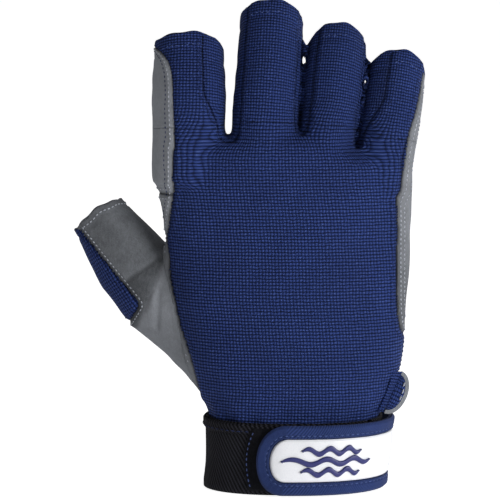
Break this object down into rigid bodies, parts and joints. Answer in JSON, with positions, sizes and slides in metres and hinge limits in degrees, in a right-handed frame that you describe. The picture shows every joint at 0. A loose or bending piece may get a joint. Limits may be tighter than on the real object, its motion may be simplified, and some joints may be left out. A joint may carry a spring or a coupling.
{
  "type": "sailing glove",
  "caption": "Short-fingered sailing glove for the right hand: navy knit back, grey suede palm, open stalls, black wrist cuff and a badged wrap-round strap.",
  "frame": {"origin": "centre of the wrist opening, in the plane of the cuff's rim", "axes": "+Z from the wrist to the fingertips, +X from the thumb to the little finger, +Y from the back of the hand to the palm"},
  "size_m": [0.135, 0.0522, 0.1852],
  "materials": {
    "knit_navy": "stretch waffle knit, matt with a faint sheen",
    "suede_grey": "short-napped microfibre suede",
    "webbing_black": "diagonal twill elastic",
    "loop_black": "brushed loop pile",
    "tape_navy": "smooth woven tape",
    "badge_white": "smooth moulded rubber",
    "badge_navy": "smooth moulded rubber",
    "thread_pale": "sewing thread"
  },
  "bodies": {
    "hand": {"back_panel": "knit_navy", "palm_panel": "suede_grey", "outer_side_panel": "suede_grey", "palm_side_wrap": "suede_grey", "index_side_patch": "suede_grey", "palm_rope_patch": "suede_grey", "palm_heel_patch": "suede_grey", "thumb_gusset_outer": "suede_grey", "thumb_gusset_web": "suede_grey", "cuff_back": "webbing_black", "cuff_outer_side": "webbing_black", "cuff_palm": "webbing_black", "loop_patch": "loop_black", "cuff_top_binding": "loop_black"},
    "index_stall": {"index_back": "knit_navy", "index_wrap": "suede_grey", "index_fourchette": "knit_navy", "index_hem": "knit_navy"},
    "middle_stall": {"middle_back": "knit_navy", "middle_inner_fourchette": "knit_navy", "middle_outer_fourchette": "knit_navy", "middle_palm": "suede_grey", "middle_hem": "knit_navy"},
    "ring_stall": {"ring_back": "knit_navy", "ring_inner_fourchette": "knit_navy", "ring_outer_fourchette": "knit_navy", "ring_palm": "suede_grey", "ring_hem": "knit_navy"},
    "little_stall": {"little_back": "knit_navy", "little_fourchette": "knit_navy", "little_palm": "suede_grey", "little_hem": "knit_navy"},
    "thumb_stall": {"thumb_inset": "knit_navy", "thumb_suede": "suede_grey", "thumb_hem": "suede_grey"},
    "strap": {"strap_band": "tape_navy", "hook_patch": "loop_black", "strap_binding": "tape_navy", "badge_plate": "badge_white", "badge_wave_top": "badge_navy", "badge_wave_middle": "badge_navy", "badge_wave_bottom": "badge_navy"},
    "tab": {"pull_tab": "suede_grey", "pull_tab_facing": "knit_navy"}
  },
  "joints": [
    {"name": "index_bend", "type": "hinge", "parent": "hand", "child": "index_stall", "pos_m": [-0.0384, 0.00569, 0.1335], "axis": [-1, 0, 0.0087], "range_deg": [0, 70], "stiffness_Nm_per_rad": 0.02},
    {"name": "middle_bend", "type": "hinge", "parent": "hand", "child": "middle_stall", "pos_m": [-0.0089, 0.00549, 0.1358], "axis": [-0.998, 0, 0.0628], "range_deg": [0, 70], "stiffness_Nm_per_rad": 0.02},
    {"name": "ring_bend", "type": "hinge", "parent": "hand", "child": "ring_stall", "pos_m": [0.0158, 0.00522, 0.1346], "axis": [-0.9959, 0, 0.0906], "range_deg": [0, 70], "stiffness_Nm_per_rad": 0.02},
    {"name": "little_bend", "type": "hinge", "parent": "hand", "child": "little_stall", "pos_m": [0.0377, 0.00499, 0.13], "axis": [-0.9888, 0, 0.1495], "range_deg": [0, 70], "stiffness_Nm_per_rad": 0.02},
    {"name": "thumb_bend", "type": "hinge", "parent": "hand", "child": "thumb_stall", "pos_m": [-0.0596, 0.01735, 0.0836], "axis": [-0.809, 0, -0.5878], "range_deg": [0, 40], "stiffness_Nm_per_rad": 0.02},
    {"name": "strap_open", "type": "hinge", "parent": "hand", "child": "strap", "pos_m": [0.0292, 0.016, 0.014], "axis": [0, 0, 1], "range_deg": [0, 110], "stiffness_Nm_per_rad": 0.01},
    {"name": "tab_flip", "type": "hinge", "parent": "hand", "child": "tab", "pos_m": [0.0403, -0.0065, 0.0385], "axis": [0.3522, 0.1704, 0.9203], "range_deg": [-35, 35], "stiffness_Nm_per_rad": 0.004}
  ]
}
